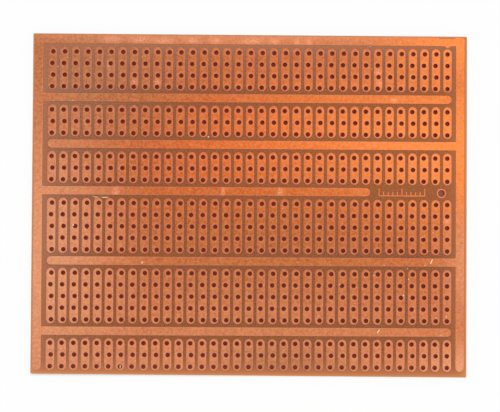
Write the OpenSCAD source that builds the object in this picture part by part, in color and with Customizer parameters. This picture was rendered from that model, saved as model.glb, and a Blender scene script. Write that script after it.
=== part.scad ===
// Prototype strip board: a sheet of phenolic paper laminate with copper foil on one face.
// The foil is etched into six bands of short strips, a bus between each two bands, and a rail
// along three edges. Every strip has a lead hole on each point of the hole grid that it covers.
// +X runs along the long side, +Y towards the top rail, +Z out of the copper face.
// The origin is under the middle of the sheet, on its bare face.

/* [Hole grid] */
// Number of hole columns, and so of strips in a band
columns = 35; // [10:1:60]
// Distance between neighbouring holes, both ways
pitch = 2.54; // [2.1:0.01:3.6]
// Diameter of a hole for a component lead
lead_hole_d = 0.90; // [0.6:0.05:1.2]
// How far a row of holes was punched to one side, with the next row to the other side
row_step = 0.10; // [0:0.01:0.15]

/* [Bands of strips] */
// Holes in each strip of band A, the one at the top rail
band_a_holes = 4; // [2:1:8]
// Holes in each strip of band B
band_b_holes = 3; // [2:1:8]
// Holes in each strip of band C
band_c_holes = 3; // [2:1:8]
// Holes in each strip of band D
band_d_holes = 5; // [2:1:8]
// Holes in each strip of band E
band_e_holes = 5; // [2:1:8]
// Holes in each strip of band F, the one at the plain edge
band_f_holes = 3; // [2:1:8]

/* [Laminate] */
// Thickness of the laminate
laminate_t = 1.50; // [0.8:0.05:3.2]
// Bare laminate beyond each side rail, before the etched pattern's own shift
bare_end = 0.43; // [0.2:0.01:5]
// Bare laminate beyond the top rail
bare_top = 0.22; // [0.1:0.01:5]
// Bare laminate below the strips at the plain edge, at that edge's narrow end
bare_plain = 0.76; // [0.3:0.02:8]
// How much wider the crooked cut of the plain edge leaves it at its other end
cut_slope = 0.43; // [0:0.01:1]
// Radius of the board's corners
corner_r = 0.25; // [0.1:0.05:1]

/* [Copper foil] */
// Thickness of the foil
foil_t = 0.035; // [0.018:0.001:0.105]
// Width of a strip, whose ends are round
strip_w = 1.90; // [1.5:0.02:1.98]
// Width of a bus
bus_w = 1.86; // [1.4:0.02:2]
// Width of the rails
rail_w = 1.90; // [1.4:0.02:2.2]
// Bare gap between the outermost strips and a side rail
side_gap = 1.02; // [0.6:0.01:1.2]
// Bare gap between band A and the top rail
top_gap = 0.65; // [0.5:0.01:0.9]
// Radius of the two outer corners of the rails
rail_corner_r = 0.60; // [0.2:0.05:0.9]
// How far the strips and buses sit to the left of the holes
foil_left = 0.03; // [0:0.01:0.15]
// How far the rails sit to the left of the holes
rails_left = 0.10; // [0:0.01:0.15]
// How far the etched pattern sits above the holes, towards the top rail
foil_up = 0.15; // [0:0.01:0.2]
// How much further out than the holes the pattern lies at the outermost columns
foil_over_x = 0.04; // [0:0.01:0.06]
// How much further out than the holes the pattern lies at the outermost rows
foil_over_y = 0.09; // [0:0.01:0.12]
// Columns that the short bus, below band C, leaves bare at its free end
short_bus_gap = 7; // [6:1:9]

/* [Locating hole] */
// Diameter of the locating hole
locating_hole_d = 1.40; // [1:0.02:1.5]
// Width of the copper ring around it
locating_ring_w = 0.32; // [0.2:0.02:0.5]

/* [Scale marks] */
// From the end of the short bus to the first mark
mark_gap = 1.80; // [0.6:0.1:2.4]
// Distance between neighbouring marks
mark_step = 1.00; // [0.8:0.05:1.2]
// Number of steps between the first mark and the last
mark_steps = 10; // [2:2:10]
// Height of a tall mark
mark_h = 1.80; // [1:0.05:2]
// Height of a short mark
short_mark_h = 1.10; // [0.5:0.05:1.5]
// Width of the etched lines
mark_line_w = 0.26; // [0.15:0.01:0.4]

/* [Etching faults] */
// Length of the bulge on the top rail's inner edge, above the last strip
bulge_l = 2.20; // [0.5:0.1:2.4]
// How far the bulge stands out of that edge
bulge_h = 0.42; // [0.1:0.02:0.45]
// Length of the bite out of the top rail's outer edge, near its right corner
bite_l = 3.90; // [0.5:0.1:6]
// Depth of that bite
bite_depth = 0.30; // [0.1:0.02:0.6]

/* [Hidden] */
// Sides of a drawn circle
$fn = 48;

// Each band is named by a letter, and is split into blocks of neighbouring strips
BANDS = ["a", "b", "c", "d", "e", "f"];
BLOCKS = 7;
band_holes = [band_a_holes, band_b_holes, band_c_holes, band_d_holes, band_e_holes, band_f_holes];
// Which way the first row of each band was punched off line, 1 for right
band_step_way = [1, -1, -1, 1, 1, -1];
// Which side rail each bus below a band is joined to, -1 for left
bus_side = [-1, 1, -1, 1, -1];

// Grid rows count down from the top row of holes, and each bus takes up one of them
function holes_above(band) = band == 0 ? 0 : holes_above(band - 1) + band_holes[band - 1];
function first_row(band) = holes_above(band) + band;
function last_row(band) = first_row(band) + band_holes[band] - 1;
function bus_row(bus) = last_row(bus) + 1;

last_band = len(BANDS) - 1;
grid_w = (columns - 1) * pitch;
grid_h = last_row(last_band) * pitch;
end_margin = strip_w / 2 + side_gap + rail_w + bare_end;
top_margin = foil_up + foil_over_y + strip_w / 2 + top_gap + rail_w + bare_top;
plain_margin = strip_w / 2 - foil_up + foil_over_y + bare_plain;
board_w = grid_w + 2 * end_margin;
board_h = top_margin + grid_h + plain_margin + cut_slope;

// Places on the hole grid
function column_x(column) = column * pitch - grid_w / 2;
function row_y(row) = board_h / 2 - top_margin - row * pitch;
// The last column was punched on line
function punch_step(band, column, row) =
    column == columns - 1 ? 0 : band_step_way[band] * ((row - first_row(band)) % 2 == 0 ? 1 : -1) * row_step;

// Places on the etched pattern, which lies a little off the grid and is a little larger
function foil_x(column) = column_x(column) - foil_left + foil_over_x * (2 * column / (columns - 1) - 1);
function foil_y(row) = row_y(row) + foil_up + foil_over_y * (1 - 2 * row / last_row(last_band));
rail_x = grid_w / 2 + (strip_w + rail_w) / 2 + side_gap;
top_rail_y = foil_y(0) + (strip_w + rail_w) / 2 + top_gap;
last_foil_y = foil_y(last_row(last_band));

short_bus = 2;
short_bus_end = columns - 1 - short_bus_gap;
// The locating hole and the scale marks are in line with the short bus
first_mark_x = foil_x(short_bus_end) + bus_w / 2 + mark_gap;
locating_place = [column_x(columns - 1.5), row_y(bus_row(short_bus))];

function block_start(block) = floor(block * columns / BLOCKS);
function strip_node(band, block) = str("band_", BANDS[band], "_strips_", block + 1);

// A quarter turn of a rounded corner, as points, from the angle start on
function corner_arc(x, y, start) =
    [for (turn = [start : 15 : start + 90]) [x + corner_r * cos(turn), y + corner_r * sin(turn)]];

module board_outline() {
    right = board_w / 2 - corner_r;
    top = board_h / 2 - corner_r;
    wide_end = -board_h / 2 + corner_r;
    polygon(concat(
        corner_arc(right, top, 0),
        corner_arc(-right, top, 90),
        corner_arc(-right, wide_end + cut_slope, 180),
        corner_arc(right, wide_end, 270)
    ));
}

module lead_holes(band, first_column, past_column) {
    for (column = [first_column : past_column - 1], row = [first_row(band) : last_row(band)])
        translate([column_x(column) + punch_step(band, column, row), row_y(row)])
            circle(d = lead_hole_d);
}

module locating_hole() {
    translate(locating_place) circle(d = locating_hole_d);
}

// A bar with round ends, from one end's centre to the other's, along x or along y
module bar(from, to, w) {
    length = norm(to - from);
    straight = from.y == to.y ? [length, w] : [w, length];
    translate((from + to) / 2) square(straight, center = true);
    translate(from) circle(d = w);
    translate(to) circle(d = w);
}

module strip_shape(band, column) {
    bar([foil_x(column), foil_y(first_row(band))], [foil_x(column), foil_y(last_row(band))], strip_w);
}

module foil() {
    translate([0, 0, laminate_t]) linear_extrude(foil_t) children();
}

module laminate() {
    color([0.63, 0.40, 0.26]) linear_extrude(laminate_t) difference() {
        board_outline();
        for (band = [0 : last_band]) lead_holes(band, 0, columns);
        locating_hole();
    }
}

module strip_block(band, block) {
    color([0.87, 0.51, 0.32]) foil() difference() {
        for (column = [block_start(block) : block_start(block + 1) - 1]) strip_shape(band, column);
        lead_holes(band, block_start(block), block_start(block + 1));
    }
}

// The top rail turns down into the side rails around two rounded corners
module rails() {
    outer_x = rail_x + rail_w / 2;
    corner_x = outer_x - rail_corner_r;
    corner_y = top_rail_y + rail_w / 2 - rail_corner_r;
    inner_y = top_rail_y - rail_w / 2;
    translate([-rails_left, 0]) {
        for (side = [-1, 1]) {
            bar([side * rail_x, inner_y], [side * rail_x, last_foil_y], rail_w);
            translate([side * corner_x, corner_y]) circle(r = rail_corner_r);
        }
        translate([0, top_rail_y]) square([2 * corner_x, rail_w], center = true);
        translate([0, (inner_y + corner_y) / 2]) square([2 * outer_x, corner_y - inner_y], center = true);
    }
}

// A bus reaches a little way into its rail
module bus(number) {
    reach = 0.2;
    free_column = number == short_bus ? short_bus_end : bus_side[number] > 0 ? 0 : columns - 1;
    joined_x = bus_side[number] * (rail_x - rail_w / 2 + reach) - rails_left;
    y = foil_y(bus_row(number));
    bar([joined_x, y], [foil_x(free_column), y], bus_w);
}

// The bulge has hollow flanks, and reaches back into the rail
module bulge() {
    flank = [bulge_l / 4, bulge_h / 3];
    translate([column_x(columns - 1), top_rail_y - rail_w / 2]) polygon([
        [-bulge_l / 2, rail_w / 2], [-bulge_l / 2, 0], [-flank.x, -flank.y], [0, -bulge_h],
        [flank.x, -flank.y], [bulge_l / 2, 0], [bulge_l / 2, rail_w / 2]
    ]);
}

module bite() {
    translate([column_x(columns - 1) - rails_left - bite_l / 2, top_rail_y + rail_w / 2 - bite_depth])
        square([bite_l, 2 * bite_depth]);
}

module bus_frame() {
    color([0.85, 0.49, 0.30]) foil() difference() {
        union() {
            rails();
            for (number = [0 : len(bus_side) - 1]) bus(number);
            bulge();
        }
        bite();
    }
}

module locating_ring() {
    color([0.88, 0.54, 0.36]) foil() difference() {
        translate(locating_place) circle(d = locating_hole_d + 2 * locating_ring_w);
        locating_hole();
    }
}

// A plain scale: one line with marks standing on it, tall at both ends and in the middle
module scale_marks() {
    color([0.88, 0.54, 0.36]) foil() translate([first_mark_x, foil_y(bus_row(short_bus)) - mark_h / 2]) {
        square([mark_steps * mark_step + mark_line_w, mark_line_w]);
        for (mark = [0 : mark_steps]) {
            height = mark % (mark_steps / 2) == 0 ? mark_h : short_mark_h;
            translate([mark * mark_step, 0]) square([mark_line_w, height]);
        }
    }
}

laminate();
bus_frame();
locating_ring();
scale_marks();
for (band = [0 : last_band], block = [0 : BLOCKS - 1])
    strip_block(band, block);
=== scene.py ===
"""Looks of the prototype strip board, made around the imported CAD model.

Lengths are in millimetres and turn to metres where a mesh or a node takes them. Places on the board
come from the CAD nodes' boxes. Marks of wear are placed by hole column and row, counted from the
top left hole, so (2, 15) is the third column and the sixteenth row.
"""

import math

import bmesh
import bpy
import numpy as np
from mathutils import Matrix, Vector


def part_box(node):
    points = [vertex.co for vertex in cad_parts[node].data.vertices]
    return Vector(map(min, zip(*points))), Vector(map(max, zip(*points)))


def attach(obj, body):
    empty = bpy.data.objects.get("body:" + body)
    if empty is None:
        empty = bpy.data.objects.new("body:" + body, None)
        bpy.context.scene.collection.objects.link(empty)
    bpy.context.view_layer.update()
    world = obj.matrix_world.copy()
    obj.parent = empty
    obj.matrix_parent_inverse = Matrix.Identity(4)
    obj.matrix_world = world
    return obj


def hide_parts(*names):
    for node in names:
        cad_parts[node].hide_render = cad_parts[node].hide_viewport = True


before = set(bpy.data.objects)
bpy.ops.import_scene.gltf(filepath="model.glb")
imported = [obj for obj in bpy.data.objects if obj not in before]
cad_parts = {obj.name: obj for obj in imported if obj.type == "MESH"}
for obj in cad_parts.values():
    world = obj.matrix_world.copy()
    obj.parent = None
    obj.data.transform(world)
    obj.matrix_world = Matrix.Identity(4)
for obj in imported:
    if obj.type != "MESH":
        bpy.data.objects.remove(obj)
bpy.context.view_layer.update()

MM = 0.001
chance = np.random.default_rng(26)

# ---------------------------------------------------------------- sizes

# The hole grid
PITCH = 2.54
COLUMNS = 35
ROWS = 28
HOLE_R = 0.45
ROW_STEP = 0.10
LOCATING_COLUMN = COLUMNS - 1.5
LOCATING_ROW = 12
LOCATING_R = 0.70
# Which way the first row of each band was punched off line, 1 for right
BAND_STEP_WAY = {"a": 1, "b": -1, "c": -1, "d": 1, "e": 1, "f": -1}
BLOCKS = 7

# The laminate
CUT_SLOPE = 0.43
CORNER_R = 0.25

# The foil
STRIP_W = 1.90
RAIL_W = 1.90
BUS_W = 1.86
RAIL_CORNER_R = 0.60
BUS_ROWS = (4, 8, 12, 18, 24)
SHORT_BUS_ROW = 12
SHORT_BUS_GAP = 7
BULGE_L = 2.20
BULGE_H = 0.42
BITE_L = 3.90
BITE_DEPTH = 0.30
MARK_STEP = 1.00
MARK_STEPS = 10
SHORT_MARK_H = 1.10
MARK_LINE_W = 0.26

# How an etched edge rolls over and wanders, and how a punch draws the foil down round its hole
SHOULDER = 0.06
FOOT = 0.03
ROLL_DROP = 0.012
FLAT_INSET = 0.30
EDGE_WANDER = 0.010
DISH_W = 0.10
LIP_DROP = 0.025
OUT_OF_ROUND = 0.018

# The wedge of lacquer along the frame, which reaches a little into the laminate and carries painted shade
POOL_W = 0.10
OUTER_POOL_W = 0.035
POOL_SUNK = 0.004
POOL_RIM = 0.001


def box_mm(node):
    """The lowest and highest corner of a CAD node, in millimetres."""
    low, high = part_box(node)
    return np.array(low) / MM, np.array(high) / MM


board_low, board_high = box_mm("laminate")
frame_low, frame_high = box_mm("bus_frame")
ring_low, ring_high = box_mm("locating_ring")
marks_low, marks_high = box_mm("scale_marks")
ring_centre = (ring_low + ring_high) / 2
LAMINATE_TOP = board_high[2]
FOIL_TOP = frame_high[2]


def column_x(column):
    return ring_centre[0] + (column - LOCATING_COLUMN) * PITCH


def row_y(row):
    return ring_centre[1] + (LOCATING_ROW - row) * PITCH


def plain_edge_y(x):
    """Height of the crooked plain edge at x: it falls by the cut's slope from left to right."""
    return board_low[1] + CUT_SLOPE * (board_high[0] - x) / (board_high[0] - board_low[0])


def from_cut(points):
    """Distance of points from the nearest cut edge of the board."""
    x, y = points[:, 0], points[:, 1]
    return np.min([x - board_low[0], board_high[0] - x, board_high[1] - y, y - plain_edge_y(x)], axis=0)


# ---------------------------------------------------------------- rings and patches of surface

SIDES = 16
STEP_UP = np.arange(SIDES) * 2 * math.pi / SIDES
ROUND = np.stack([np.cos(STEP_UP), np.sin(STEP_UP)], -1)


def box_ring(across, up):
    """Points evenly round a box, counter-clockwise from the middle of its right side.

    The box reaches across and up quarter pitches from its middle. Each coordinate is a triangle wave
    of the way gone, cut off at the box's sides.
    """
    way = np.arange(4 * (across + up))
    wave_x = np.abs(way - len(way) / 2) - across - up
    wave_y = np.abs((way - across - up) % len(way) - len(way) / 2) - across - up
    return np.stack([np.clip(wave_x, -across, across), np.clip(wave_y, -up, up)], -1) * PITCH / 4


SQUARE = box_ring(2, 2)


def with_height(ring, height):
    """Gives points in the plane a height, which is one number or one for each of them."""
    return np.concatenate([ring, np.broadcast_to(np.asarray(height, float), ring.shape[:-1])[..., None]], -1)


def ring_faces(shape):
    """Quads between each ring and the next, for stacks of closed rings numbered in order.

    They face up where the rings of a stack grow outwards, and out of the solid everywhere if the
    stack goes up, out and down round it.
    """
    number = np.arange(np.prod(shape)).reshape(shape)
    ahead = np.roll(number, -1, axis=-1)
    inner, outer = np.s_[..., :-1, :], np.s_[..., 1:, :]
    return np.stack([number[inner], number[outer], ahead[outer], ahead[inner]], -1)


def stack_patch(rings, kept=True, finish=0):
    """A patch of surface through stacks of rings, whose quads are kept where kept is true."""
    faces = ring_faces(rings.shape[:-1])
    kept = np.broadcast_to(kept, faces.shape[:-1])
    finish = np.broadcast_to(finish, faces.shape[:-1])
    return {"points": rings.reshape(-1, 3), "faces": faces[kept], "finish": finish[kept]}


def flat_patch(rings, facing_up=True, finish=0):
    """A patch with one flat face inside each ring of points."""
    faces = np.arange(np.prod(rings.shape[:-1])).reshape(-1, rings.shape[-2])
    if not facing_up:
        faces = faces[:, ::-1]
    return {"points": rings.reshape(-1, 3), "faces": faces, "finish": np.full(len(faces), finish)}


def make_piece(name, patches, finishes, nodes=(), measures=(), sharp=35):
    """One piece of the object, welded from patches of surface.

    Each of measures is an attribute's name with the function that gives it for all the points, and
    the materials read it.
    """
    starts = np.cumsum([0] + [len(patch["points"]) for patch in patches])
    faces = [row for patch, start in zip(patches, starts) for row in (patch["faces"] + start).tolist()]
    mesh = bpy.data.meshes.new(name)
    mesh.from_pydata(np.concatenate([patch["points"] for patch in patches]) * MM, [], faces, shade_flat=False)
    mesh.polygons.foreach_set("material_index", np.concatenate([patch["finish"] for patch in patches]))

    welded = bmesh.new()
    welded.from_mesh(mesh)
    bmesh.ops.remove_doubles(welded, verts=welded.verts, dist=0.0005 * MM)
    bmesh.ops.dissolve_degenerate(welded, edges=welded.edges, dist=0.0002 * MM)
    welded.to_mesh(mesh)
    welded.free()

    points = np.zeros(len(mesh.vertices) * 3, np.float32)
    mesh.vertices.foreach_get("co", points)
    points = points.reshape(-1, 3) / MM
    for measure, values in measures:
        attribute = mesh.attributes.new(measure, "FLOAT", "POINT")
        attribute.data.foreach_set("value", values(points).astype(np.float32))
    mesh.set_sharp_from_angle(angle=math.radians(sharp))
    for finish in finishes:
        mesh.materials.append(finish)

    piece = bpy.data.objects.new(name, mesh)
    bpy.context.scene.collection.objects.link(piece)
    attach(piece, "root")
    if nodes:
        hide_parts(*nodes)
    return piece


# ---------------------------------------------------------------- where the strips and holes are


def band_blocks():
    """Every block of strips: its node, its counts and its place in the hole grid."""
    found = []
    for band, way in BAND_STEP_WAY.items():
        for block in range(1, BLOCKS + 1):
            node = f"band_{band}_strips_{block}"
            low, high = box_mm(node)
            strips, holes = (round(size / PITCH) for size in (high - low)[:2])
            column = round((low[0] + STRIP_W / 2 - column_x(0)) / PITCH)
            row = round((row_y(0) - high[1] + STRIP_W / 2) / PITCH)
            found.append({
                "node": node, "way": way, "strips": strips, "holes": holes, "column": column, "row": row,
            })
    return found


blocks = band_blocks()

# The etched pattern is a little larger than the hole grid, and lies a little off it
first_low, first_high = box_mm("band_a_strips_1")
last_low, last_high = box_mm("band_f_strips_7")
foil_start = np.array([first_low[0] + STRIP_W / 2, first_high[1] - STRIP_W / 2])
foil_end = np.array([last_high[0] - STRIP_W / 2, last_low[1] + STRIP_W / 2])
foil_pitch = (foil_end - foil_start) / [COLUMNS - 1, ROWS - 1]


def foil_place(column, row):
    """The place on the etched pattern that belongs to a place on the hole grid."""
    return foil_start + np.stack(np.broadcast_arrays(column, row), -1) * foil_pitch


# The middle of every hole, and which rows have holes
holes_x = np.repeat(column_x(np.arange(COLUMNS))[:, None], ROWS, axis=1)
holes_y = np.repeat(row_y(np.arange(ROWS))[None, :], COLUMNS, axis=0)
punched = np.zeros((COLUMNS, ROWS), bool)
for block in blocks:
    rows = block["row"] + np.arange(block["holes"])
    columns = slice(block["column"], block["column"] + block["strips"])
    holes_x[columns, rows] = holes_x[columns, rows[0], None]
    holes_x[columns, rows] += block["way"] * ROW_STEP * (-1) ** np.arange(block["holes"])
    punched[columns, rows] = True
holes_x[-1] = column_x(COLUMNS - 1)
hole_middles = np.stack([holes_x, holes_y], -1)

# A worn punch leaves each hole a little out of round, and two are nicked: column, row, side and depth,
# where the sides are counted counter-clockwise from the right
NICKED_HOLES = [(3, 15, 12, 0.28), (3, 15, 11, 0.06), (3, 15, 13, 0.06), (2, 15, 13, 0.05)]
hole_radii = HOLE_R * (1 + OUT_OF_ROUND * chance.standard_normal((COLUMNS, ROWS, SIDES)))
for column, row, side, depth in NICKED_HOLES:
    hole_radii[column, row, side] += depth


def hole_ring(columns, rows, wider=0.0):
    """Rings of points round the holes of these columns and rows, at a distance from their edges."""
    radii = hole_radii[columns, rows][..., None] + wider
    return hole_middles[columns, rows][..., None, :] + radii * ROUND


def from_hole(points):
    """Distance of points from the edge of the nearest lead hole."""
    column = np.clip(np.round((points[:, 0] - column_x(0)) / PITCH), 0, COLUMNS - 1).astype(int)
    row = np.clip(np.round((row_y(0) - points[:, 1]) / PITCH), 0, ROWS - 1).astype(int)
    away = np.hypot(*(points[:, :2] - hole_middles[column, row]).T) - HOLE_R
    return np.where(punched[column, row], np.maximum(away, 0), PITCH)


# ---------------------------------------------------------------- adding nodes


def linear(hex_colour):
    """An sRGB hex colour as linear red, green, blue and an alpha of 1."""
    parts = np.array([int(hex_colour[start:start + 2], 16) for start in (1, 3, 5)]) / 255
    turned = np.where(parts <= 0.04045, parts / 12.92, ((parts + 0.055) / 1.055) ** 2.4)
    return (*turned.tolist(), 1.0)


def add(tree, kind, inputs, **settings):
    """Adds a node with its settings, and gives its inputs values or links them to other nodes' outputs."""
    node = tree.nodes.new("ShaderNode" + kind)
    for name, value in settings.items():
        setattr(node, name, value)
    for name, value in inputs.items():
        if isinstance(value, bpy.types.NodeSocket):
            tree.links.new(value, node.inputs[name])
        else:
            node.inputs[name].default_value = value
    return node


# The sockets of a Mix node that blends colours
FACTOR, FIRST, SECOND, MIXED = 0, 6, 7, 2


def new_finish(name, **settings):
    """A material with its own tree, its shader and the Object coordinates that its patterns read."""
    finish = bpy.data.materials.new(name)
    finish.use_nodes = True
    tree = finish.node_tree
    shader = tree.nodes["Principled BSDF"]
    for socket, value in settings.items():
        shader.inputs[socket.replace("_", " ")].default_value = value
    place = add(tree, "TexCoord", {}).outputs["Object"]
    return finish, tree, shader, place


def soft_patches(tree, place, colour, patches, grain=None):
    """Lays soft-edged ovals of colour over a colour, broken up by a grain if one is given.

    Each is its middle's column and row, its half width and half height in holes, and its colour.
    """
    for column, row, across, up, tint in patches:
        centred = add(tree, "Mapping", {
            "Vector": place,
            "Location": (column_x(column) * MM, row_y(row) * MM, 0),
            "Scale": (across * PITCH * MM, up * PITCH * MM, 1),
        }, vector_type="TEXTURE")
        ball = add(tree, "TexGradient", {"Vector": centred.outputs[0]}, gradient_type="SPHERICAL")
        softened = add(tree, "MapRange", {"Value": ball.outputs["Fac"]}, interpolation_type="SMOOTHSTEP")
        soft = softened.outputs[0]
        if grain is not None:
            soft = add(tree, "Math", {0: soft, 1: grain}, operation="MULTIPLY").outputs[0]
        mixed = add(tree, "Mix", {FACTOR: soft, FIRST: colour, SECOND: linear(tint)}, data_type="RGBA")
        colour = mixed.outputs[MIXED]
    return colour


def two_toned(tree, place, size, detail, darker, paler, ends=(0.0, 1.0)):
    """Blots of a size in millimetres: their noise, and a colour that runs from a darker to a paler tone.

    The tone changes evenly with the noise, from the first of its ends to the second.
    """
    blots = add(tree, "TexNoise", {"Vector": place, "Scale": 1 / (size * MM), "Detail": detail})
    toned = add(tree, "ValToRGB", {"Fac": blots.outputs["Fac"]})
    for stop, position, tone in zip(toned.color_ramp.elements, ends, (darker, paler)):
        stop.position = position
        stop.color = linear(tone)
    return blots.outputs["Fac"], toned.outputs["Color"]


def mottled(tree, colour, changes):
    """A colour with noises added: for each, as much of a change as the noise lies off its middle."""
    for noise, change in changes:
        middling = add(tree, "Math", {0: noise.outputs["Fac"], 1: 0.5}, operation="SUBTRACT")
        changed = add(tree, "VectorMath", {
            0: middling.outputs[0], 1: change, 2: colour,
        }, operation="MULTIPLY_ADD")
        colour = changed.outputs[0]
    return colour


def through_the_cut(tree, colour):
    """Light through the cut edges, painted in: a wide glow, and a narrow tan one where the lacquer has crept
    back.

    Each fades with the distance from the cut as e to the power of minus the distance over its reach.
    """
    away = add(tree, "Attribute", {}, attribute_name="from_cut")
    for reach, strength, tint in ((2.0, 1.0, "#d07a46"), (0.3, 0.5, "#e0a868")):
        depth = add(tree, "Math", {0: away.outputs["Fac"], 1: -1 / reach}, operation="MULTIPLY")
        fade = add(tree, "Math", {0: depth.outputs[0]}, operation="EXPONENT")
        share = add(tree, "Math", {0: fade.outputs[0], 1: strength}, operation="MULTIPLY")
        glowing = add(tree, "Mix", {
            FACTOR: share.outputs[0], FIRST: colour, SECOND: linear(tint),
        }, data_type="RGBA")
        colour = glowing.outputs[MIXED]
    return colour


# ---------------------------------------------------------------- finishes

# Tarnish and a painted sheen lie on the foil in a few wide soft patches: brown where the tarnish is thick,
# orange and bright orange where the painted sheen brightens the copper, and dull pink and dull brown
# elsewhere
BROWN = "#b86430"
ORANGE = "#de6c32"
BRIGHT = "#f68a44"
DULL_PINK = "#e49a70"
DULL_BROWN = "#b87248"
TARNISH = [
    (19, 9, 16, 9, ORANGE),
    (36, 8, 27, 11, BRIGHT),
    (20, 18, 18, 12, BROWN),
    (3, 1, 12, 9, DULL_BROWN),
    (-2, 18, 12, 20, DULL_PINK),
    (14, 40, 50, 28, DULL_PINK),
    (38, 18, 6, 8, DULL_PINK),
    (17, -3, 40, 3.5, DULL_PINK),
    (35, -1, 10, 5, BRIGHT),
    (36, 28, 7, 5, DULL_PINK),
    (20, 27, 9, 4, DULL_BROWN),
]

# Where the face was rubbed: on the top rail, on some strips and across the short bus
RUBBED = "#fca882"
SCUFFS = [
    (5, -1.1, 1.5, 0.5),
    (7.5, -1.1, 1.5, 0.5),
    (9.5, -1.0, 1.5, 0.5),
    (12, -1.0, 1.0, 0.5),
    (14, -1.0, 0.8, 0.5),
    (17, -1.0, 1.5, 0.5),
    (19, -1.0, 0.8, 0.5),
    (21, -1.0, 0.5, 0.5),
    (22, -1.0, 0.5, 0.6),
    (7, 2.6, 0.5, 0.5),
    (9, 2.6, 0.5, 0.5),
    (4.8, 1.2, 0.3, 0.7),
    (28, 1.6, 0.5, 0.4),
    (28.2, 2.6, 0.5, 0.6),
    (29.4, 4, 0.5, 0.3),
    (5.5, 12, 0.5, 0.8),
    (14.7, 12, 0.3, 0.8),
    (19.6, 12, 0.4, 0.8),
    (34, 14.4, 0.5, 0.4),
]

# The laminate is greyer to the left and warmer across the upper right
GREY_BROWN = "#9e684c"
WARM_BROWN = "#a4581e"
HAZE = [
    (32, 8, 26, 10, WARM_BROWN),
    (-2, 2, 16, 12, GREY_BROWN),
    (-2, 15, 8, 14, GREY_BROWN),
    (-2, 29, 14, 8, GREY_BROWN),
    (17, -2, 40, 6, GREY_BROWN),
]


def lacquered_copper():
    """Rolled copper foil under a thin lacquer: warm orange metal with a broad soft gloss.

    Tarnish and a painted sheen shift it slowly from brown to bright orange, fine mottling from the
    pickled surface breaks it up, and a painted highlight makes the foil paler and pinker along its
    etched edge and round each hole, while painted shade darkens each hole's rim and the etched flank.
    """
    finish, tree, shader, place = new_finish(
        "lacquered_rolled_copper_foil", Metallic=1.0, Roughness=0.4, Coat_Weight=0.15, Coat_Roughness=0.3)

    # Tarnish and a painted sheen, in wide soft patches
    colour = soft_patches(tree, place, linear("#c46a3a"), TARNISH)

    # Mottling of the pickled copper, about 0.4 mm across, in lightness and a little towards pink
    mottle = add(tree, "TexNoise", {"Vector": place, "Scale": 1 / (0.45 * MM), "Detail": 2.0})
    blush = add(tree, "TexNoise", {"Vector": place, "Scale": 1 / (0.4 * MM), "Detail": 1.0})
    colour = mottled(tree, colour, [(mottle, (0.60, 0.26, 0.10)), (blush, (0.08, -0.03, 0.04))])

    rubbing = add(tree, "TexNoise", {"Vector": place, "Scale": 1 / (0.3 * MM), "Detail": 2.0})
    rubbed = add(tree, "MapRange", {
        "Value": rubbing.outputs["Fac"], "From Min": 0.35, "From Max": 0.65, "To Min": 0.0, "To Max": 0.9,
    })
    colour = soft_patches(tree, place, colour, [(*scuff, RUBBED) for scuff in SCUFFS], rubbed.outputs[0])

    # A painted highlight along the etched outline and round each hole, painted shade on the fold at the
    # hole's rim and painted shade on the etched flank: each is a measure, where it starts to fade, where it
    # is gone, its strength and its colour
    for measure, full, gone, strength, tint in (
        ("from_edge", 0.10, 0.28, 0.15, "#d09088"),
        ("from_hole", 0.12, 0.52, 0.22, "#f0987a"),
        ("from_hole", 0.02, 0.13, 0.80, "#702808"),
        ("from_edge", -0.02, 0.03, 0.75, "#5a2c12"),
    ):
        away = add(tree, "Attribute", {}, attribute_name=measure)
        clean = add(tree, "MapRange", {
            "Value": away.outputs["Fac"], "From Min": full, "From Max": gone,
            "To Min": strength, "To Max": 0.0,
        }, interpolation_type="SMOOTHSTEP")
        cleaned = add(tree, "Mix", {
            FACTOR: clean.outputs[0], FIRST: colour, SECOND: linear(tint),
        }, data_type="RGBA")
        colour = cleaned.outputs[MIXED]
    tree.links.new(colour, shader.inputs["Base Color"])

    # The rolling mill's grain, drawn coarser than its real 0.05 mm so that it shows
    grain = add(tree, "TexNoise", {"Vector": place, "Scale": 1 / (0.3 * MM), "Detail": 3.0})
    bump = add(tree, "Bump", {"Height": grain.outputs["Fac"], "Strength": 0.12, "Distance": 0.02 * MM})
    tree.links.new(bump.outputs[0], shader.inputs["Normal"])
    gloss = add(tree, "MapRange", {
        "Value": mottle.outputs["Fac"], "From Min": 0.3, "From Max": 0.7, "To Min": 0.34, "To Max": 0.46,
    })
    tree.links.new(gloss.outputs[0], shader.inputs["Roughness"])
    return finish


def lacquered_laminate():
    """Phenolic paper laminate under the same lacquer: brown, with grey and plum clouds from its paper.

    The sheet lets light through, painted in as a warmer glow within a few millimetres of the cut edges.
    """
    finish, tree, shader, place = new_finish(
        "lacquered_phenolic_paper_laminate", Roughness=0.38, Specular_IOR_Level=0.3)
    _, clouded = two_toned(tree, place, 1.1, 2.0, "#945218", "#964c28", (0.36, 0.64))
    colour = soft_patches(tree, place, clouded, HAZE)

    # Paper fibres show as a speckle about 0.3 mm across, in lightness and in warmth
    speckle = add(tree, "TexNoise", {"Vector": place, "Scale": 1 / (0.3 * MM), "Detail": 2.0})
    warmth = add(tree, "TexNoise", {"Vector": place, "Scale": 1 / (0.35 * MM), "Detail": 1.0})
    colour = mottled(tree, colour, [(speckle, (0.45, 0.24, 0.12)), (warmth, (0.16, -0.03, -0.08))])
    tree.links.new(through_the_cut(tree, colour), shader.inputs["Base Color"])

    fibres = add(tree, "TexNoise", {"Vector": place, "Scale": 1 / (0.25 * MM), "Detail": 4.0})
    bump = add(tree, "Bump", {"Height": fibres.outputs["Fac"], "Strength": 0.25, "Distance": 0.02 * MM})
    tree.links.new(bump.outputs[0], shader.inputs["Normal"])
    return finish


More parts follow.
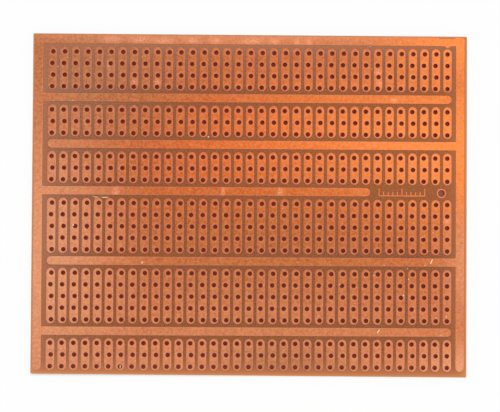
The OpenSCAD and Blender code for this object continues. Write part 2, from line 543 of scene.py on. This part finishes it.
def sheared_edge():
    """The guillotined side of the laminate: pale broken paper fibres in thin brown plies."""
    finish, tree, shader, place = new_finish("sheared_phenolic_paper_edge", Roughness=0.75)
    # Plies are about 0.15 mm thick, and the break wanders across them
    flattened = add(tree, "Mapping", {"Vector": place, "Scale": (1, 1, 9)})
    plies, layered = two_toned(tree, flattened.outputs[0], 1.4, 4.0, "#6f3f1f", "#b98752", (0.34, 0.66))
    tree.links.new(layered, shader.inputs["Base Color"])
    bump = add(tree, "Bump", {"Height": plies, "Strength": 0.6, "Distance": 0.06 * MM})
    tree.links.new(bump.outputs[0], shader.inputs["Normal"])
    return finish


def bare_laminate():
    """The plain pressed back of the laminate: ochre brown and half glossy, with faint paper flecks."""
    finish, tree, shader, place = new_finish("pressed_phenolic_paper_back", Roughness=0.32)
    flecks, flecked = two_toned(tree, place, 0.7, 4.0, "#8c5626", "#a56c34", (0.35, 0.68))
    # The punch breaks out paler round each hole
    away = add(tree, "Attribute", {}, attribute_name="from_hole")
    crazed = add(tree, "MapRange", {
        "Value": away.outputs["Fac"], "From Max": 0.35, "To Min": 0.6, "To Max": 0.0,
    }, interpolation_type="SMOOTHSTEP")
    paler = add(tree, "Mix", {
        FACTOR: crazed.outputs[0], FIRST: flecked, SECOND: linear("#c99a62"),
    }, data_type="RGBA")
    tree.links.new(paler.outputs[MIXED], shader.inputs["Base Color"])
    bump = add(tree, "Bump", {"Height": flecks, "Strength": 0.2, "Distance": 0.02 * MM})
    tree.links.new(bump.outputs[0], shader.inputs["Normal"])
    return finish


def punched_wall():
    """The wall of a punched hole: torn resin, with light through it painted in, so it is never black.

    It is brown at the mouth, and painted red deeper down, for the light that has gone through more resin.
    """
    finish, tree, shader, place = new_finish("punched_phenolic_wall", Roughness=0.7, Specular_IOR_Level=0.1)
    torn, reds = two_toned(tree, place, 0.35, 2.0, "#d43c12", "#d84416", (0.35, 0.65))
    height = add(tree, "SeparateXYZ", {"Vector": place})
    mouth = add(tree, "MapRange", {
        "Value": height.outputs["Z"], "From Min": (LAMINATE_TOP - 0.5) * MM, "From Max": LAMINATE_TOP * MM,
        "To Max": 0.8,
    }, interpolation_type="SMOOTHSTEP")
    browner = add(tree, "Mix", {
        FACTOR: mouth.outputs[0], FIRST: reds, SECOND: linear("#9c5228"),
    }, data_type="RGBA")
    tree.links.new(browner.outputs[MIXED], shader.inputs["Base Color"])
    bump = add(tree, "Bump", {"Height": torn, "Strength": 0.05, "Distance": 0.03 * MM})
    tree.links.new(bump.outputs[0], shader.inputs["Normal"])
    return finish


def pooled_lacquer():
    """Flux lacquer pooled in the corner between foil and laminate: thicker, and painted shade, so a darker
    brown line.
    """
    finish, tree, shader, place = new_finish("pooled_flux_lacquer_and_painted_shade", Roughness=0.4, Specular_IOR_Level=0.3)
    _, beaded = two_toned(tree, place, 0.6, 2.0, "#824624", "#965430", (0.35, 0.65))
    tree.links.new(through_the_cut(tree, beaded), shader.inputs["Base Color"])
    return finish


def crumb_finish(name, darker, paler):
    """A matt crumb, tufted at the scale of its torn paper fibres."""
    finish, tree, shader, place = new_finish(name, Roughness=0.8)
    _, tufted = two_toned(tree, place, 0.15, 2.0, darker, paler)
    tree.links.new(tufted, shader.inputs["Base Color"])
    return finish


def scraped_copper():
    """Copper scraped bare: pale pink metal with a tight gloss, painted paler towards cream as a glint."""
    finish, tree, shader, place = new_finish("bare_copper_painted_glint", Metallic=1.0, Roughness=0.25)
    _, streaked = two_toned(tree, place, 0.12, 2.0, "#fac890", "#fff2d0")
    tree.links.new(streaked, shader.inputs["Base Color"])
    return finish


COPPER = lacquered_copper()
LAMINATE_FACE = lacquered_laminate()
LAMINATE_EDGE = sheared_edge()
LAMINATE_BACK = bare_laminate()
POOLED = pooled_lacquer()
HOLE_WALL = punched_wall()
# Torn paper fibre is near white, and dried flux is tan
FIBRE = crumb_finish("torn_white_paper_fibre", "#ecd0b0", "#fff8ec")
FLUX = crumb_finish("dried_tan_flux", "#ecb478", "#ffe0a8")
BURNT = crumb_finish("burnt_flux_speck", "#5c3818", "#7c5028")
SCRAPED = scraped_copper()

# ---------------------------------------------------------------- strips


def wander(points, away):
    """Lets an etched edge wander by some hundredths of a millimetre, less and less away from it.

    The shift is a sum of sines of the place, so points at one place move alike.
    """
    x, y = points[..., 0], points[..., 1]
    shift_x = np.sin(1.9 * y + 0.7 * x) + 0.6 * np.sin(4.1 * y - 1.3 * x)
    shift_y = np.sin(2.3 * x - 0.4 * y) + 0.6 * np.sin(3.7 * x + 1.1 * y)
    fade = EDGE_WANDER * np.clip(1 - away / FLAT_INSET, 0, 1)
    moved = points.copy()
    moved[..., 0] += fade * shift_x
    moved[..., 1] += fade * shift_y
    return moved


def from_strip_edge(points):
    """Distance inwards from the outline of the nearest strip, whose ends are half circles.

    It is below zero on the flank's foot, which stands outside the outline.
    """
    column, row = np.moveaxis((points[..., :2] - foil_start) / foil_pitch, -1, 0)
    beside = (column - np.round(column)) * foil_pitch[0]
    past = np.full(row.shape, np.inf)
    for block in blocks[::BLOCKS]:
        beyond = np.maximum(block["row"] - row, row - block["row"] - block["holes"] + 1)
        past = np.minimum(past, np.maximum(beyond, 0) * -foil_pitch[1])
    return STRIP_W / 2 - np.hypot(beside, past)


def strip_outline(centres, inset):
    """Rings of points round a strip's cells, one cell for each hole, inset from the strip's edge.

    A cell reaches half way to its neighbours, and the end cells' outer halves are half circles.
    """
    half = STRIP_W / 2 - inset
    ring = SQUARE * [half / (PITCH / 2), -foil_pitch[1] / PITCH]
    rings = np.repeat(ring[None], centres.shape[-2], axis=0)
    rings[0, ROUND[:, 1] > -0.01] = half * ROUND[ROUND[:, 1] > -0.01]
    rings[-1, ROUND[:, 1] < 0.01] = half * ROUND[ROUND[:, 1] < 0.01]
    return centres[..., None, :] + rings


def strip_piece(block):
    """A block of neighbouring strips with their holes.

    Each hole's stack of rings goes in under the foil, up the hole, over the drawn-down lip to the
    flat, out to the cell's outline and, along the strip's own edge, over the rolled shoulder and down.
    """
    columns = block["column"] + np.arange(block["strips"])[:, None]
    rows = block["row"] + np.arange(block["holes"])[None, :]
    centres = foil_place(columns, rows)

    lip = FOIL_TOP - LIP_DROP * chance.uniform(0.4, 1.0, centres.shape[:-1] + (1,))
    under = with_height(strip_outline(centres, -FOOT), LAMINATE_TOP)
    rings = np.stack([
        under,
        with_height(hole_ring(columns, rows), LAMINATE_TOP),
        with_height(hole_ring(columns, rows), lip),
        with_height(hole_ring(columns, rows, DISH_W), FOIL_TOP),
        with_height(strip_outline(centres, SHOULDER), FOIL_TOP),
        with_height(strip_outline(centres, 0), FOIL_TOP - ROLL_DROP),
        under,
    ], axis=2)

    straight = np.abs(SQUARE[:, 0]) > PITCH / 2 - 0.01
    on_edge = np.repeat((straight & np.roll(straight, -1))[None], block["holes"], axis=0)
    middle_of_side = STEP_UP + math.pi / SIDES
    on_edge[0, np.sin(middle_of_side) > 0] = True
    on_edge[-1, np.sin(middle_of_side) < 0] = True
    kept = np.ones(centres.shape[:2] + (6, SIDES), bool)
    kept[..., 4:, :] = on_edge[:, None, :]

    rings = wander(rings, from_strip_edge(rings))
    make_piece(
        "foil_" + block["node"], [stack_patch(rings, kept)], [COPPER], [block["node"]],
        [("from_hole", from_hole), ("from_edge", from_strip_edge)])


for block in blocks:
    strip_piece(block)

# ---------------------------------------------------------------- bus frame, ring and scale


def arc(centre, radius, start, end, steps=8):
    """Points along an arc, from one angle in degrees to another."""
    turn = np.radians(np.linspace(start, end, steps + 1))
    return np.array(centre) + radius * np.stack([np.cos(turn), np.sin(turn)], -1)


def evenly(outline, spacing):
    """A closed outline with more points put evenly along its long straight stretches."""
    ends = np.roll(outline, -1, axis=0)
    counts = np.maximum(np.ceil(np.hypot(*(ends - outline).T) / spacing), 1).astype(int)
    return np.concatenate([
        start + (end - start) * np.arange(count)[:, None] / count
        for start, end, count in zip(outline, ends, counts)
    ])


def inset_outline(outline, inset):
    """A closed counter-clockwise outline moved inwards, each point along the mitre of its two sides."""
    along = np.roll(outline, -1, axis=0) - outline
    along /= np.hypot(*along.T)[:, None]
    inwards = np.stack([-along[:, 1], along[:, 0]], -1)
    before = np.roll(inwards, 1, axis=0)
    mitre = (before + inwards) / (1 + np.sum(before * inwards, axis=1))[:, None]
    return outline + inset * mitre


def outline_distance(outline):
    """A function that gives points' distance from a closed outline's sides, below zero at the foot."""
    start, along = outline, np.roll(outline, -1, axis=0) - outline

    def distance(points):
        to_point = points[:, None, :2] - start
        share = np.clip(np.sum(to_point * along, -1) / np.sum(along * along, -1), 0, 1)
        away = np.min(np.linalg.norm(to_point - share[..., None] * along, axis=-1), axis=1)
        return np.where(points[:, 2] > LAMINATE_TOP + 0.001, away, -away)

    return distance


def far_from_holes(points):
    """The distance from a hole that a piece of foil without one has: a pitch, too far to show."""
    return np.full(len(points), PITCH)


def etched_shape(name, outline, flat_inset, node):
    """A flat etched shape with no holes: its rolled edge, carried along the outline, and flat faces."""
    def level(inset, height):
        return with_height(inset_outline(outline, inset), height)

    rings = np.stack([
        level(flat_inset, FOIL_TOP),
        level(SHOULDER, FOIL_TOP),
        level(0, FOIL_TOP - ROLL_DROP),
        level(-FOOT, LAMINATE_TOP),
    ])
    patches = [stack_patch(rings), flat_patch(rings[0]), flat_patch(rings[3], facing_up=False)]
    make_piece(
        name, patches, [COPPER], [node],
        [("from_hole", far_from_holes), ("from_edge", outline_distance(outline))])


def bus_excursion(row, side):
    """Outline of a bus that stands out from its rail: along one edge, round the free end and back."""
    joined_x = (frame_high[0] - RAIL_W) if side > 0 else (frame_low[0] + RAIL_W)
    free_column = COLUMNS - 1 - SHORT_BUS_GAP if row == SHORT_BUS_ROW else (0 if side > 0 else COLUMNS - 1)
    turned = 90 if side > 0 else -90
    end = arc(foil_place(free_column, row), BUS_W / 2, turned, turned + 180)
    return np.concatenate([[[joined_x, end[0, 1]]], end, [[joined_x, end[-1, 1]]]])


def bulge(x, y, width, height):
    """A rounded bulge that hangs from a level edge: a raised cosine to a power, which hollows its flanks."""
    hollow = 1.6
    share = np.linspace(-1, 1, 13)
    return np.stack([x + share * width / 2, y - height * ((1 + np.cos(math.pi * share)) / 2) ** hollow], -1)


def bite(x, y, width, depth):
    """A shallow bite into a level edge, walked from right to left, whose ends are smoothstep ramps."""
    ramp_l = 0.35
    share = np.linspace(1, -1, 13)
    ramp = np.clip((1 - np.abs(share)) * width / 2 / ramp_l, 0, 1)
    return np.stack([x + share * width / 2, y - depth * ramp * ramp * (3 - 2 * ramp)], -1)


def bus_frame_outline():
    """Counter-clockwise from the right rail's foot: up its outside, along the top, down the left rail,
    and back along the inside past every bus."""
    left, right = frame_low[0], frame_high[0]
    top = frame_high[1]
    foot_y = frame_low[1] + RAIL_W / 2
    inner_top = top - RAIL_W
    corner = RAIL_CORNER_R
    left_buses = [bus_excursion(row, -1) for row in BUS_ROWS[::-2]]
    right_buses = [bus_excursion(row, 1) for row in BUS_ROWS[1::2]]
    return np.concatenate([
        arc((right - RAIL_W / 2, foot_y), RAIL_W / 2, -180, 0),
        arc((right - corner, top - corner), corner, 0, 90, 5),
        bite(column_x(COLUMNS - 1) + (left + right) / 2, top, BITE_L, BITE_DEPTH),
        arc((left + corner, top - corner), corner, 90, 180, 5),
        arc((left + RAIL_W / 2, foot_y), RAIL_W / 2, 180, 360),
        *left_buses,
        [[left + RAIL_W, inner_top]],
        bulge(column_x(COLUMNS - 1), inner_top, BULGE_L, BULGE_H),
        [[right - RAIL_W, inner_top]],
        *right_buses,
    ])


def scale_outline():
    """Counter-clockwise round the scale: along its base line, then back over every mark, whose tops
    are rounded."""
    left, base = marks_low[:2]
    right = left + MARK_STEPS * MARK_STEP + MARK_LINE_W
    half = MARK_LINE_W / 2
    teeth = []
    for mark in range(MARK_STEPS, -1, -1):
        tall = mark % (MARK_STEPS // 2) == 0
        height = marks_high[1] - base if tall else SHORT_MARK_H
        middle = left + half + mark * MARK_STEP
        foot = [] if mark == MARK_STEPS else [[middle + half, base + MARK_LINE_W]]
        teeth += foot + arc((middle, base + height - half), half, 0, 180, 6).tolist()
        teeth += [] if mark == 0 else [[middle - half, base + MARK_LINE_W]]
    return np.array([[left, base], [right, base]] + teeth)


frame_outline = evenly(bus_frame_outline(), PITCH / 2)
frame_outline = wander(frame_outline, np.zeros(len(frame_outline)))
etched_shape("foil_bus_frame", frame_outline, FLAT_INSET, "bus_frame")
etched_shape("foil_scale_marks", scale_outline(), MARK_LINE_W / 3, "scale_marks")


def lacquer_pool(outline):
    """Lacquer pooled along the frame, with painted shade: a thin wedge along the outline that leans on the
    flank.

    It narrows along the outer edge, where the lacquer ran off over the cut.
    """
    width = np.where(from_cut(outline) < 1, OUTER_POOL_W, POOL_W)[:, None]
    inner = inset_outline(outline, 0)
    outer = inset_outline(outline, -width)
    rings = np.stack([
        with_height(outer, LAMINATE_TOP - POOL_SUNK),
        with_height(inner, LAMINATE_TOP - POOL_SUNK),
        with_height(inner, FOIL_TOP - ROLL_DROP),
        with_height(outer, LAMINATE_TOP + POOL_RIM),
        with_height(outer, LAMINATE_TOP - POOL_SUNK),
    ])
    make_piece(
        "lacquer_pool", [stack_patch(rings)], [POOLED],
        measures=[("from_cut", from_cut)])


lacquer_pool(frame_outline)


def ring_piece():
    """The copper ring round the locating hole: in under the foil, up the hole, over the lip and the
    flat, and down the rolled outer edge."""
    outer_r = (ring_high[0] - ring_low[0]) / 2
    turn = np.arange(32) * 2 * math.pi / 32
    way = np.stack([np.cos(turn), np.sin(turn)], -1)
    profile = [
        (outer_r, LAMINATE_TOP), (LOCATING_R, LAMINATE_TOP), (LOCATING_R, FOIL_TOP - LIP_DROP),
        (LOCATING_R + DISH_W, FOIL_TOP), (outer_r - SHOULDER, FOIL_TOP), (outer_r, FOIL_TOP - ROLL_DROP),
        (outer_r, LAMINATE_TOP),
    ]
    rings = np.stack([with_height(ring_centre[:2] + radius * way, height) for radius, height in profile])

    def from_middle(points):
        return np.hypot(*(points[:, :2] - ring_centre[:2]).T)

    make_piece(
        "foil_locating_ring", [stack_patch(rings)], [COPPER], ["locating_ring"],
        [("from_hole", lambda points: np.maximum(from_middle(points) - LOCATING_R, 0)),
         ("from_edge", lambda points: np.maximum(outer_r - from_middle(points), 0))])


ring_piece()

# ---------------------------------------------------------------- laminate

FACE, EDGE, BACK, WALL = range(4)
BREAK_OUT_W = 0.07
BREAK_OUT_H = 0.10


def hole_stack(hole, rim, outline):
    """From a cell's outline on the back, in to the broken-out rim, up the hole and out over the face."""
    return np.stack([
        with_height(outline, 0), with_height(rim, 0), with_height(hole, BREAK_OUT_H),
        with_height(hole, LAMINATE_TOP), with_height(outline, LAMINATE_TOP),
    ], axis=-3)


def hole_patch(rings):
    """The surface of cells with a hole, with the finish of each part of it."""
    return stack_patch(rings, finish=np.array([BACK, WALL, WALL, FACE])[:, None])


def board_ring(extra):
    """Points round the board's outline, evenly between its corners, which are arcs of extra sides.

    They match the points round the hole grid, whose four corners are repeated for each arc.
    """
    ring = box_ring(2 * COLUMNS, 2 * ROWS) / (PITCH / 4) / [2 * COLUMNS, 2 * ROWS]
    is_corner = np.all(np.abs(ring) > 0.999, axis=1)
    ring = np.repeat(ring, np.where(is_corner, extra + 1, 1), axis=0)
    is_corner = np.all(np.abs(ring) > 0.999, axis=1)

    x = board_low[0] + (board_high[0] - board_low[0]) * (ring[:, 0] + 1) / 2
    bottom = plain_edge_y(x)
    y = bottom + (board_high[1] - bottom) * (ring[:, 1] + 1) / 2
    outline = np.stack([x, y], -1)
    turn = np.radians(np.arange(extra + 1) * 90 / extra + np.array([0, 90, 180, 270])[:, None]).ravel()
    outline[is_corner] += CORNER_R * (np.stack([np.cos(turn), np.sin(turn)], -1) - ring[is_corner])
    return ring, outline


def laminate_piece():
    """The sheet: a cell of surface for each place on the hole grid, the margins, and the sheared side."""
    columns, rows = np.nonzero(punched)
    middles = np.stack([column_x(columns), row_y(rows)], -1)
    holes = hole_stack(
        hole_ring(columns, rows), hole_ring(columns, rows, BREAK_OUT_W), middles[:, None] + SQUARE)

    # Bus rows have no holes but the locating one, which takes up the room of two cells
    columns, rows = np.nonzero(~punched)
    plain = (rows != LOCATING_ROW) | (columns < LOCATING_COLUMN - 1)
    plain_middles = np.stack([column_x(columns[plain]), row_y(rows[plain])], -1)
    plain_rings = plain_middles[:, None] + SQUARE
    double = ring_centre[:2] + box_ring(4, 2)
    turn = np.arange(len(double)) * 2 * math.pi / len(double)
    way = np.stack([np.cos(turn), np.sin(turn)], -1)
    locating = hole_stack(
        ring_centre[:2] + LOCATING_R * way, ring_centre[:2] + (LOCATING_R + BREAK_OUT_W) * way, double)

    # The shears left the side slightly ragged, a few hundredths of a millimetre deep
    ring, outline = board_ring(extra=4)
    grid_middle = np.array([column_x((COLUMNS - 1) / 2), row_y((ROWS - 1) / 2)])
    grid = grid_middle + ring * np.array([COLUMNS, ROWS]) * PITCH / 2

    def ragged(depth, height):
        inwards = depth * chance.uniform(0, 1, len(outline)) + 0.3 * depth
        return with_height(inset_outline(outline, inwards[:, None]), height)

    side = np.stack([
        with_height(grid, LAMINATE_TOP),
        ragged(0.035, LAMINATE_TOP),
        ragged(0.02, LAMINATE_TOP - 0.04),
        ragged(0.03, 0.72 * LAMINATE_TOP),
        ragged(0.05, 0.38 * LAMINATE_TOP),
        ragged(0.02, 0.05),
        ragged(0.05, 0),
        with_height(grid, 0),
    ])
    side_finish = np.array([FACE, EDGE, EDGE, EDGE, EDGE, EDGE, BACK])[:, None]

    patches = [
        hole_patch(holes),
        hole_patch(locating),
        flat_patch(with_height(plain_rings, LAMINATE_TOP), finish=FACE),
        flat_patch(with_height(plain_rings, 0), facing_up=False, finish=BACK),
        stack_patch(side, finish=side_finish),
    ]

    make_piece(
        "laminate_sheet", patches, [LAMINATE_FACE, LAMINATE_EDGE, LAMINATE_BACK, HOLE_WALL],
        ["laminate"], [("from_hole", from_hole), ("from_cut", from_cut)])


laminate_piece()

# ---------------------------------------------------------------- wear


def crumbs_piece(name, crumbs, surface, finish, measures=()):
    """Crumbs lying on a surface: low ragged domes, each a stack of shrinking ovals.

    A crumb is its column, row, length, width, height and turn in degrees. At the share s of its
    reach the dome's height is its full height times 1 - s squared.
    """
    column, row, length, width, height, turned = np.array(crumbs, float).T[..., None, None]
    sides = 10
    turn = np.arange(sides) * 2 * math.pi / sides
    share = np.array([1.0, 1.0, 0.75, 0.4, 0.0])[:, None]
    up = np.array([-0.004, 0.0, 0.44, 0.84, 1.0])[:, None]
    ragged = chance.uniform(0.9, 1.3, (len(crumbs), 1, sides))
    along = length / 2 * share * ragged * np.cos(turn)
    across = width / 2 * share * ragged * np.sin(turn)
    angle = np.radians(turned)
    x = column_x(column) + along * np.cos(angle) - across * np.sin(angle)
    y = row_y(row) + along * np.sin(angle) + across * np.cos(angle)
    z = surface + height * up + 0 * x
    rings = np.stack([x, y, z], -1)[:, ::-1]
    make_piece(
        name, [stack_patch(rings), flat_patch(rings[:, -1], facing_up=False)], [finish],
        measures=measures, sharp=180)


# Each crumb's place is read against the holes beside it: column, row, length, width, height, turn
FIBRES_ON_FOIL = [
    (18.25, 20.0, 0.22, 0.20, 0.05, 0),
    (14.2, 22.9, 0.24, 0.18, 0.05, 60),
    (13.3, 22.5, 0.18, 0.14, 0.04, 90),
    (27.7, 19.1, 0.26, 0.20, 0.05, 0),
    (26.1, 21.5, 0.18, 0.16, 0.04, 0),
    (30.7, 19.4, 0.18, 0.26, 0.05, 0),
    (32.3, 17.0, 0.16, 0.26, 0.05, 0),
    (32.1, 18.2, 0.30, 0.14, 0.04, 0),
    (28.6, 18.2, 0.16, 0.16, 0.04, 0),
    (24.0, 18.2, 0.20, 0.16, 0.04, 0),
    (21.2, 18.0, 0.18, 0.18, 0.04, 0),
    (33.5, 24.2, 0.20, 0.16, 0.04, 0),
    (31.2, 22.1, 0.14, 0.20, 0.04, 0),
    (24.8, 19.9, 0.30, 0.18, 0.05, 40),
    (1.87, 14.92, 0.42, 0.28, 0.06, 40),
    (30.25, 20.8, 0.46, 0.22, 0.06, 55),
    (30.3, 21.0, 0.20, 0.20, 0.05, 0),
]
FLUX_ON_FOIL = [
    (27.3, -0.9, 0.16, 0.16, 0.04, 0),
    (32.8, 1.7, 0.24, 0.18, 0.04, 0),
    (1.3, 0.5, 0.22, 0.16, 0.04, 0),
    (1.7, 4.2, 0.24, 0.14, 0.04, 0),
    (7.7, 0.4, 0.20, 0.16, 0.04, 0),
    (29.9, 14.3, 0.30, 0.12, 0.04, 10),
    (31.1, 14.6, 0.16, 0.16, 0.04, 0),
    (32.8, 15.4, 0.44, 0.14, 0.04, 0),
    (35.0, 15.3, 0.22, 0.20, 0.04, 0),
    (31.9, 15.8, 0.26, 0.18, 0.05, 40),
    (29.8, 15.8, 0.30, 0.12, 0.04, 40),
    (28.3, 18.7, 0.18, 0.16, 0.04, 0),
    (26.2, 20.1, 0.20, 0.16, 0.04, 0),
    (27.0, 22.5, 0.26, 0.22, 0.05, 0),
    (31.9, 22.4, 0.20, 0.18, 0.04, 0),
    (33.0, 21.6, 0.18, 0.16, 0.04, 0),
    (33.1, 22.7, 0.28, 0.22, 0.05, 60),
    (33.9, 21.5, 0.20, 0.18, 0.04, 0),
    (33.95, 22.6, 0.50, 0.32, 0.05, 40),
    (22.9, 22.6, 0.24, 0.24, 0.04, 0),
    (19.7, 19.4, 0.16, 0.20, 0.04, 0),
    (12.7, 13.5, 0.16, 0.24, 0.04, 0),
    (19.8, 13.4, 0.14, 0.28, 0.04, 0),
    (28.7, 26.1, 0.18, 0.24, 0.04, 0),
    (19.3, 26.2, 0.14, 0.30, 0.04, 0),
]
FLUX_IN_GAPS = [
    (0.6, 0.4, 0.16, 0.24, 0.04, 0),
    (0.45, 1.3, 0.26, 0.22, 0.05, 0),
    (3.6, 1.9, 0.20, 0.20, 0.04, 0),
    (27.3, -0.65, 0.22, 0.14, 0.05, 0),
    (27.5, 1.3, 0.26, 0.14, 0.04, 0),
    (30.6, 18.5, 0.20, 0.26, 0.04, 0),
]
FIBRE_IN_GAP = [(13.4, 7.25, 0.30, 0.28, 0.06, 0)]
BURNT_SPECKS = [
    (35.25, 16.3, 0.18, 0.20, 0.03, 0),
    (26.0, 21.4, 0.22, 0.12, 0.03, 0),
    (4.85, 0.7, 0.12, 0.16, 0.03, 0),
]
# Bumps of copper that the etch left on a strip's side
FOIL_BUMPS = [
    (27.4, 10.4, 0.45, 0.40, 0.06, 0),
    (3.2, 24.6, 0.35, 0.35, 0.06, 0),
]
SCRAPES = [
    (28.1, 23.9, 1.0, 0.22, 0.04, 60),
    (32.65, 17.9, 1.3, 0.26, 0.04, 65),
    (7.8, 18.1, 0.6, 0.26, 0.04, 45),
]
LAMINATE_SCRATCH = [
    (4.55, 12.52, 1.7, 0.14, 0.03, 0),
    (3.8, 12.48, 1.6, 0.08, 0.02, -10),
    (3.8, 12.55, 0.9, 0.07, 0.015, 20),
]
# A slug that the punch left standing in its hole, wedged between the walls below the face
SLUG_DEPTH = 0.15
SLUG = [(5.98, 27, 1.0, 0.28, 0.12, 88)]

crumbs_piece("torn_fibres", FIBRES_ON_FOIL, FOIL_TOP, FIBRE)
crumbs_piece("flux_on_foil", FLUX_ON_FOIL, FOIL_TOP, FLUX)
crumbs_piece("flux_in_gaps", FLUX_IN_GAPS, LAMINATE_TOP, FLUX)
crumbs_piece("fibre_in_gap", FIBRE_IN_GAP, LAMINATE_TOP, FIBRE)
crumbs_piece("burnt_specks", BURNT_SPECKS, FOIL_TOP, BURNT)
crumbs_piece("foil_bumps", FOIL_BUMPS, LAMINATE_TOP, COPPER, [
    ("from_hole", far_from_holes),
    ("from_edge", lambda points: np.full(len(points), 0.10)),
])
# Scrapes on the foil, whose pale cream colour is a painted glint
crumbs_piece("foil_scrapes", SCRAPES, FOIL_TOP, SCRAPED)
crumbs_piece("laminate_scratch", LAMINATE_SCRATCH, LAMINATE_TOP, FIBRE)
crumbs_piece("punched_slug", SLUG, LAMINATE_TOP - SLUG_DEPTH, FLUX)

# ---------------------------------------------------------------- floor, light and camera


# How far past the board's edge the floor turns from its painted tint to white, below zero under the board
TINT_ENDS = -1.0 * MM
WHITE_STARTS = -0.6 * MM


def pale_sweep():
    """White paper roll: matt and even, and plain white to the eye past the board's own soft shadow.

    Under the board it is painted with a pink tint and a dim amber glow for the light that comes through
    the laminate, with more painted daylight near the cut edges and below the wide locating hole.
    """
    finish, tree, shader, place = new_finish("white_paper_sweep", Roughness=0.9, Specular_IOR_Level=0.0)

    # How far a place lies outside the board's box
    middle = (board_low + board_high) / 2
    half = (board_high - board_low) / 2
    centred = add(tree, "VectorMath", {
        0: place, 1: (middle[0] * MM, middle[1] * MM, 0),
    }, operation="SUBTRACT")
    folded = add(tree, "VectorMath", {0: centred.outputs[0]}, operation="ABSOLUTE")
    past = add(tree, "VectorMath", {
        0: folded.outputs[0], 1: (half[0] * MM, half[1] * MM, 0),
    }, operation="SUBTRACT")
    sides = add(tree, "SeparateXYZ", {"Vector": past.outputs[0]})
    farther = add(tree, "Math", {0: sides.outputs["X"], 1: sides.outputs["Y"]}, operation="MAXIMUM")
    outside = farther.outputs[0]

    # Painted pink tint under the board, for the light that comes through the laminate
    untinted = add(tree, "MapRange", {"Value": outside, "From Min": TINT_ENDS, "From Max": WHITE_STARTS})
    colour = add(tree, "Mix", {
        FACTOR: untinted.outputs[0], FIRST: linear("#ffa48c"), SECOND: linear("#fafafa"),
    }, data_type="RGBA")
    tree.links.new(colour.outputs[MIXED], shader.inputs["Base Color"])

    # What is seen of it directly or in a gloss is partly plain: white outside, and painted dusk under the
    # board
    ray = add(tree, "LightPath", {})
    seen = add(tree, "Math", {
        0: ray.outputs["Is Camera Ray"], 1: ray.outputs["Is Glossy Ray"],
    }, operation="MAXIMUM")
    clear = add(tree, "MapRange", {
        "Value": outside, "From Min": -0.5 * MM, "From Max": 0.3 * MM, "To Max": 0.9,
    }, interpolation_type="SMOOTHSTEP")
    dusky = add(tree, "MapRange", {
        "Value": outside, "From Min": TINT_ENDS, "From Max": WHITE_STARTS, "To Min": 0.7, "To Max": 0.0,
    })
    plain = add(tree, "Math", {0: clear.outputs[0], 1: dusky.outputs[0]}, operation="ADD")
    plain_part = add(tree, "Math", {0: seen.outputs[0], 1: plain.outputs[0]}, operation="MULTIPLY")
    # Painted daylight in the dusk: paler near the cut edges and below the locating hole
    near_cut = add(tree, "MapRange", {
        "Value": outside, "From Min": -6.0 * MM, "From Max": -1.5 * MM, "To Max": 0.8,
    })
    dusk = add(tree, "Mix", {
        FACTOR: near_cut.outputs[0], FIRST: linear("#702a1c"), SECOND: linear("#803c30"),
    }, data_type="RGBA").outputs[MIXED]
    dusk = soft_patches(tree, place, dusk, [(LOCATING_COLUMN, LOCATING_ROW, 0.8, 0.8, "#8c584c")])
    tone = add(tree, "Mix", {
        FACTOR: untinted.outputs[0], FIRST: dusk, SECOND: linear("#ffffff"),
    }, data_type="RGBA")
    plainly = add(tree, "Emission", {"Color": tone.outputs[MIXED], "Strength": 1.0})
    front = add(tree, "MixShader", {0: plain_part.outputs[0], 1: shader.outputs[0], 2: plainly.outputs[0]})

    # The back of the paper is plain white, so that the dusk on its front is never seen from below
    side = add(tree, "NewGeometry", {})
    back_seen = add(tree, "Math", {
        0: side.outputs["Backfacing"], 1: ray.outputs["Is Camera Ray"],
    }, operation="MULTIPLY")
    back = add(tree, "Emission", {"Color": linear("#ffffff"), "Strength": 1.0})
    paper = add(tree, "MixShader", {0: back_seen.outputs[0], 1: front.outputs[0], 2: back.outputs[0]})
    output = next(node for node in tree.nodes if node.type == "OUTPUT_MATERIAL")
    tree.links.new(paper.outputs[0], output.inputs["Surface"])
    return finish


def floor_piece():
    """The paper roll's flat part, a tenth of a millimetre below the board so that the two never meet."""
    half = 1500 * MM
    level = -0.1 * MM
    mesh = bpy.data.meshes.new("floor")
    corners = [(-half, -half, level), (half, -half, level), (half, half, level), (-half, half, level)]
    mesh.from_pydata(corners, [], [(0, 1, 2, 3)])
    mesh.materials.append(pale_sweep())
    floor = bpy.data.objects.new("floor", mesh)
    bpy.context.scene.collection.objects.link(floor)


def lights():
    """A white room all round, and one wide soft lamp above and to the right."""
    world = bpy.data.worlds.new("studio")
    bpy.context.scene.world = world
    world.use_nodes = True
    background = world.node_tree.nodes["Background"]
    background.inputs["Color"].default_value = (1, 1, 1, 1)
    background.inputs["Strength"].default_value = 0.9

    lamp = bpy.data.lights.new("soft_lamp", "AREA")
    lamp.shape = "RECTANGLE"
    lamp.size = 600 * MM
    lamp.size_y = 400 * MM
    lamp.energy = 0.35
    holder = bpy.data.objects.new("soft_lamp", lamp)
    holder.location = np.array([150, 60, 700]) * MM
    holder.rotation_euler = (-holder.location).to_track_quat("-Z", "Y").to_euler()
    bpy.context.scene.collection.objects.link(holder)


def camera():
    """A long lens nearly straight above the board: its place in millimetres and its turn in degrees."""
    place = [-7.85, -12.35, 410.5]
    turn = [1.702, -1.117, 0.333]
    lens = bpy.data.cameras.new("camera")
    lens.lens = 135
    lens.sensor_width = 36
    holder = bpy.data.objects.new("camera", lens)
    holder.location = np.array(place) * MM
    holder.rotation_euler = np.radians(turn)
    bpy.context.scene.collection.objects.link(holder)
    bpy.context.scene.camera = holder


floor_piece()
lights()
camera()
bpy.context.scene.view_settings.view_transform = "Standard"
